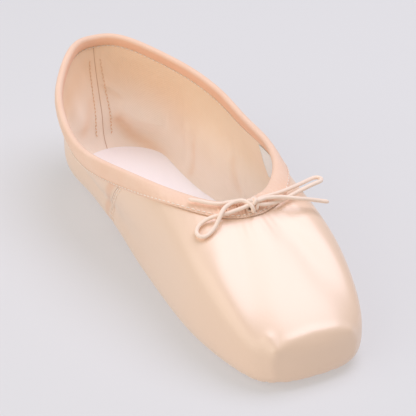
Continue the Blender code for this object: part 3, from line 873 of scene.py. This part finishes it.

# Painted shade: where the lining is darker, in the hollows under its bulges
liningShades = (
    (((0.0080, 0.1093, 0.0190), (0.0135, 0.1061, 0.0112), (0.0182, 0.1012, 0.0076), (0.0240, 0.0925, 0.0046),
      (0.0290, 0.0800, 0.0016)), 0.0034, 0.42),
    (((-0.0060, 0.1150, 0.0300), (-0.0130, 0.1095, 0.0180)), 0.0034, 0.35),
    (((0.0284, 0.0610, 0.0220), (0.0262, 0.0590, 0.0077)), 0.0026, 0.20),
    (((0.0330, 0.0260, 0.0300), (0.0300, 0.0150, 0.0180)), 0.0024, 0.20),
)


def makeLining():
    sizes = liningSizes
    rows = form.rows(*sizes["steps"])
    face = skinOf(rows - outwardNormals(rows) * last["upperWall"])
    around = np.tile(wall.round[:-1], (rows.shape[0], 1))
    loose = smoothStep(face.depth, *sizes["collarFade"]) * smoothStep(face.up, *sizes["footFade"])
    height = softWaves(around, face.up, liningSwells) * loose
    height += foldHeights(face.places, liningFolds) * loose
    deep, half = sizes["seamGroove"]
    height -= deep * bell(np.minimum(around, perimeter - around), 0, half)
    height = np.maximum(height, -sizes["room"]) + sizes["clear"]
    sheet = face.places - face.normals * height[..., None]
    shade = foldHeights(face.places, liningShades)
    piece = wrapGrid("liningDrill", sheet, lining, rulerOf(face.depth), outward=False, shade=shade)
    thicken(piece, sizes["thickness"], -1)
    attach(piece, "root")
    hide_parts("upper")
    return skinOf(sheet)


liningSkin = makeLining()
print("lining laid in")

# Collar casing: one tape folded over the edge
casing = {
    "thickness": 0.0006,
    "outside": 0.0084,
    "inside": 0.0034,
    "puff": 0.0005,  # how far the outer leg stands off over the cord
    "innerPuff": 0.00025,
    "gap": 0.0003,
    "wallRows": 50,  # rows of the wall, from the collar down, that the tape is measured on
    "legRows": 22,
    "legFrom": (0.06, 0.10),  # where the outer and the inner leg begin, as shares of their depth
    "foldRows": 7,
    "foldStep": 0.0004,
    "gather": 0.00020,
    "gatherElsewhere": 0.35,  # how much of it shows away from the throat
    "gatherPitch": (0.0052, 0.0031),
    "throat": 0.05,  # how far round from the throat the gathers are stronger
    "slitRow": 12,  # the wall's row there, counted from the collar down
    "slitHalf": (0.0033, 0.0012),
    "slitDepth": 0.0050,
    "slitStitches": 26,
    "slitRing": (1.06, 1.12),  # the ring of stitches, against the slit's half sizes
    "slitStitch": 0.00147,
}


def collarShare():  # how much shorter the collar is than the widest line, at the throat
    middle, row = wall.places.shape[1] // 2, wall.places[-casing["slitRow"]]
    return lengths(row[middle + 1] - row[middle]) / (wall.round[middle + 1] - wall.round[middle])


def gathers(around):  # uneven ripples of the tape, as drawn up by its cord
    wide, narrow = casing["gatherPitch"]
    ripples = np.sin(around * (2 * math.pi / wide) + 2 * np.sin(around * 63))
    return ripples + 0.6 * np.sin(around * (2 * math.pi / narrow))


def makeCasing():
    samples, normals, depths = (
        field[::-1][:casing["wallRows"]] for field in (wall.places, wall.normals, wall.depth)
    )
    around = wall.round[:-1]
    outerFrom, innerFrom = casing["legFrom"]
    strength = casing["gatherElsewhere"] + bell(around, perimeter / 2, casing["throat"])
    ripples = casing["gather"] * gathers(around) * strength
    rows, ruler = [], []
    for share in np.linspace(1, outerFrom, casing["legRows"]):
        depth = casing["outside"] * share
        belly = math.sin(math.pi * share)
        lift = casing["gap"] * (1.2 - share) + casing["puff"] * belly**0.8 + ripples * belly**0.5
        away = unit(readOff(depths, depth, normals))
        rows.append(readOff(depths, depth, samples) + away * lift[:, None])
        ruler.append(depth)
    away, upward = normals[0], unit(samples[0] - samples[1])
    fold = samples[0] - away * last["upperWall"] / 2
    reach = last["upperWall"] / 2 + casing["gap"]
    for turn in range(casing["foldRows"]):
        angle = math.pi * turn / (casing["foldRows"] - 1)
        rows.append(fold + reach * (math.cos(angle) * away + math.sin(angle) * upward))
        ruler.append(-casing["foldStep"] * turn)
    foldEnd = ruler[-1]
    for share in np.linspace(innerFrom, 1, casing["legRows"]):
        depth = casing["inside"] * share
        away = unit(readOff(depths, depth, normals))
        lift = last["upperWall"] + casing["gap"] + casing["innerPuff"] * math.sin(math.pi * share)
        rows.append(readOff(depths, depth, samples) - away * lift)
        ruler.append(foldEnd - depth)
    sheet = np.array(rows)
    down = np.tile(np.array(ruler)[:, None], sheet.shape[1])
    beside = (wall.round - perimeter / 2)[None] * collarShare()
    along = down[:, :1] - casing["slitDepth"]
    halfWide, halfTall = casing["slitHalf"]
    inSlit = (beside / halfWide) ** 2 + (along / halfTall) ** 2 < 1
    piece = wrapGrid("collarCasing", sheet, tape, rulerOf(down), keep=~inSlit)
    thicken(piece, casing["thickness"], 1)
    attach(piece, "root")
    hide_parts("collar_binding")


makeCasing()
print("collar cased")


# Stitches: each a small grain of thread, all of a row in one piece
def stitches(name, marks, finish, size):
    bm = bmesh.new()
    for place, along, normal in marks:
        made = bmesh.ops.create_uvsphere(bm, u_segments=6, v_segments=4, radius=1)
        along = unit(along - normal * (along @ normal))
        beside = np.cross(normal, along)
        for vertex in made["verts"]:
            x, y, z = vertex.co
            vertex.co = place + along * z * size / 2 + (beside * x + normal * y) * seamSizes["thread"]
    piece = linked(name, bm, finish)
    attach(piece, "root")
    return piece


def markOf(here, ahead, side, lift):  # a stitch's middle, its direction and which way it faces
    return here[0] + here[1] * side * lift, ahead[0] - here[0], here[1] * side


def runOfMarks(skin, spots, side, pitch, lift):
    # marks from spot to spot on a skin, side 1 outside and -1 inside
    marks = []
    spots = np.array(spots)
    for start, end in zip(spots, spots[1:]):
        steps = max(1, round(float(lengths(skin.at(end)[0] - skin.at(start)[0])) / pitch))
        for step in range(steps):
            share = (step + 0.5) / steps
            here = skin.at(start + (end - start) * share)
            ahead = skin.at(start + (end - start) * min(share + 0.05, 1.0))
            marks.append(markOf(here, ahead, side, lift))
    return marks


def ringOfMarks(skin, depth, side, pitch, lift):
    columns = np.arange(0, skin.places.shape[1], 2)
    line = np.array([skin.atDepth(column, depth)[0] for column in columns])
    run = metresAlong(line, closed=True)
    columns = np.append(columns, skin.places.shape[1])
    marks = []
    for wanted in np.arange(0, run[-1], pitch):
        column = float(np.interp(wanted, run, columns))
        here, ahead = skin.atDepth(column, depth), skin.atDepth(column + 0.5, depth)
        marks.append(markOf(here, ahead, side, lift))
    return marks


def sideSeamMarks():
    marks = []
    for side in (-1, 1):
        for shift in seamSizes["sideRows"]:
            depths = np.linspace(*seamSizes["sideDepths"], 12)
            spots = [(side * (sideSeam(depth) + shift), depth) for depth in depths]
            marks += runOfMarks(satinSkin, spots, 1, seamSizes["pitch"], seamSizes["thread"] * 0.5)
    return marks


def slitMarks():  # short stitches that point away from the slit
    marks = []
    wide, tall = (half * ring for half, ring in zip(casing["slitHalf"], casing["slitRing"]))
    lift = casing["gap"] + casing["puff"] + casing["thickness"] + 0.00005
    for angle in np.linspace(0, 2 * math.pi, casing["slitStitches"], endpoint=False):
        beside, down = wide * math.cos(angle), tall * math.sin(angle)
        column = wall.columnOf(perimeter / 2 + beside / collarShare())
        here = wall.atDepth(column, casing["slitDepth"] + down)
        ahead = wall.atDepth(column + 0.5 * math.cos(angle), casing["slitDepth"] + 1.6 * down)
        marks.append(markOf(here, ahead, 1, lift))
    return marks


def zigzagMarks():
    marks = []
    out, wide, step = seamSizes["zigzagOut"], seamSizes["zigzagWide"], seamSizes["zigzagStep"]
    for side in (-1, 1):
        for turn in range(seamSizes["zigzags"]):
            depth = seamSizes["zigzagFrom"] + turn * step
            spots = [(side * (out + (turn + end) % 2 * wide), depth + end * step) for end in (0, 1)]
            marks += runOfMarks(liningSkin, spots, -1, 2 * step, seamSizes["thread"] * 0.5)
    return marks


def sewSeams():
    pitch, size, thread = seamSizes["pitch"], seamSizes["stitch"], seamSizes["thread"]
    onTape = casing["thickness"] + casing["gap"] + thread
    lower = ringOfMarks(liningSkin, casing["inside"] + seamSizes["pastTape"], -1, pitch, thread * 0.6)
    edge = ringOfMarks(wall, casing["outside"] - seamSizes["inTape"], 1, pitch, onTape)
    for name, marks, finish, long, slot in (
        ("sideSeamStitches", sideSeamMarks(), seamThread, size, "satin_upper"),
        ("casingStitches", lower, seamThread, size, "casing_tape"),
        ("casingEdgeStitches", edge, seamThread, size, "casing_tape"),
        ("slitStitches", slitMarks(), seamThread, casing["slitStitch"], "casing_tape"),
        ("backSeamZigzag", zigzagMarks(), backThread, seamSizes["zigzagStitch"], "satin_upper"),
    ):
        stitches(name, marks, finish, long)


sewSeams()
print("seams sewn")

# Size label, left blank: sewn to the lining under the casing, on the far side
labelSizes = {
    "round": (0.1520, 0.1800),
    "depth": (0.0225, 0.0050),  # its lower and its upper edge, down from the collar's
    "cells": (16, 12),
    "lift": 0.00035,
    "thickness": 0.0003,
}


def makeLabel():
    columns, rows = labelSizes["cells"]
    rounds, depths = np.linspace(*labelSizes["round"], columns), np.linspace(*labelSizes["depth"], rows)
    spots = np.stack(np.meshgrid(rounds, depths), axis=2)
    sheet = np.empty((rows, columns, 3))
    for cell in np.ndindex(rows, columns):
        place, normal = liningSkin.at(spots[cell])
        sheet[cell] = place - normal * labelSizes["lift"]
    piece = wrapGrid("sizeLabel", sheet, labelCloth, spots, closed=False, outward=False)
    thicken(piece, labelSizes["thickness"], 1)
    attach(piece, "root")


makeLabel()
print("label sewn in")

# Insole
insoleSizes = {
    "thickness": 0.0016,
    "edgeRound": 0.0006,
    "ease": 0.0006,
    "crown": 0.0004,
    "topRows": 14,
    "edgeRows": 5,
    "underRows": 9,
    "wallRows": 40,  # rows of the wall, from the feather line up, that the insole is fitted to
}


def makeInsole():
    thickness, corner = insoleSizes["thickness"], insoleSizes["edgeRound"]
    inner = (wall.places - wall.normals * last["upperWall"])[:insoleSizes["wallRows"]]
    over = last["upperWall"] + last["fitGap"]
    level = form.feather[:, 2] + over + thickness
    edge = form.inward(readOff(inner[:, :, 2], level, inner), insoleSizes["ease"])
    middle = form.middle(edge)
    rows = []
    for share in np.linspace(1, 0, insoleSizes["underRows"]):
        rows.append(onSole(edge + (middle - edge) * share, over))
    for angle in np.linspace(0, math.pi / 2, insoleSizes["edgeRows"]):
        ring = form.inward(edge, corner * (1 - math.cos(angle)))
        rows.append(onSole(ring, over + thickness - corner + corner * math.sin(angle)))
    top = form.inward(edge, corner)
    middle = form.middle(top)
    for share in np.linspace(0, 1, insoleSizes["topRows"] + 1)[1:]:
        crown = insoleSizes["crown"] * math.sin(share * math.pi / 2)
        rows.append(onSole(top + (middle - top) * share, over + thickness + crown))
    piece = wrapGrid("insoleSock", np.array(rows), insoleCloth, evenRuler(len(rows)))
    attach(piece, "root")
    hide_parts("insole")


makeInsole()
print("insole laid")

# Leather outsole
soleSizes = {
    "bevel": 0.0007,
    "channelIn": 0.0030,  # the stitch groove, in from the sole's edge
    "channelHalf": 0.0005,
    "channelDepth": 0.0004,
    "topCorner": (0.0002, 0.0003),
    "underRows": 10,
}


def makeOutsole():
    edge, middle = form.soleEdge, form.middle(form.soleEdge)
    groove, grooveHalf = soleSizes["channelIn"], soleSizes["channelHalf"]
    bevel, tall = soleSizes["bevel"], last["soleThickness"]
    cornerIn, cornerDown = soleSizes["topCorner"]
    shares = np.linspace(1, 0.12, soleSizes["underRows"])
    rows = [onGround(edge + (middle - edge) * share) for share in shares]
    for inset, height in (
        (groove + grooveHalf, 0.0), (groove, soleSizes["channelDepth"]), (groove - grooveHalf, 0.0),
        (bevel, 0.0), (bevel * 0.3, bevel * 0.3), (0.0, bevel), (0.0, tall - cornerDown), (cornerIn, tall),
    ):
        rows.append(onGround(form.inward(edge, inset), height))
    rows += [onGround(edge + (middle - edge) * share, tall) for share in (0.4, 1.0)]
    piece = wrapGrid("leatherSole", np.array(rows), leather, evenRuler(len(rows)))
    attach(piece, "root")
    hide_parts("outsole")


makeOutsole()
print("sole cut")

# Floor and light
studio = {
    "floor": tint(162, 160, 161),
    "floorHalf": 3.0,
    "floorTint": (1.0, 0.985, 0.992, 1.0),
    "floorGlow": 0.385,  # a lit sweep: it keeps the shadow faint, as in the photo
    "world": 0.42,
    "worldTint": (1.0, 0.985, 0.96, 1.0),
    "aim": (0, 0, 0.03),
    "lights": (
        # the first stands where the vamp mirrors it into the camera: name, place, size, power and colour
        ("topLight", (0.42, 0.03, 1.12), 1.0, 8.6, (0.94, 0.96, 1.16)),
        ("fillLight", (-1.0, -0.2, 0.55), 1.6, 7.0, (1.0, 0.98, 0.95)),
    ),
}


def addLight(name, place, size, power, colour):
    data = bpy.data.lights.new(name, "AREA")
    data.shape = "DISK"
    data.size = size
    data.energy = power
    data.color = colour
    light = bpy.data.objects.new(name, data)
    light.location = place
    light.rotation_euler = (Vector(studio["aim"]) - light.location).to_track_quat("-Z", "Y").to_euler()
    bpy.context.scene.collection.objects.link(light)


def setStudio():
    bm = bmesh.new()
    bmesh.ops.create_grid(bm, x_segments=2, y_segments=2, size=studio["floorHalf"])
    paint = Paint("floor", {
        "Roughness": 0.9, "Base Color": studio["floor"], "Specular IOR Level": 0.2,
        "Emission Color": studio["floorTint"], "Emission Strength": studio["floorGlow"],
    })
    floor = linked("floor", bm, paint.material)
    world = bpy.data.worlds.new("studio")
    world.use_nodes = True
    backdrop = world.node_tree.nodes["Background"]
    backdrop.inputs["Color"].default_value = studio["worldTint"]
    backdrop.inputs["Strength"].default_value = studio["world"]
    bpy.context.scene.world = world
    for light in studio["lights"]:
        addLight(*light)


setStudio()
print("studio lit")
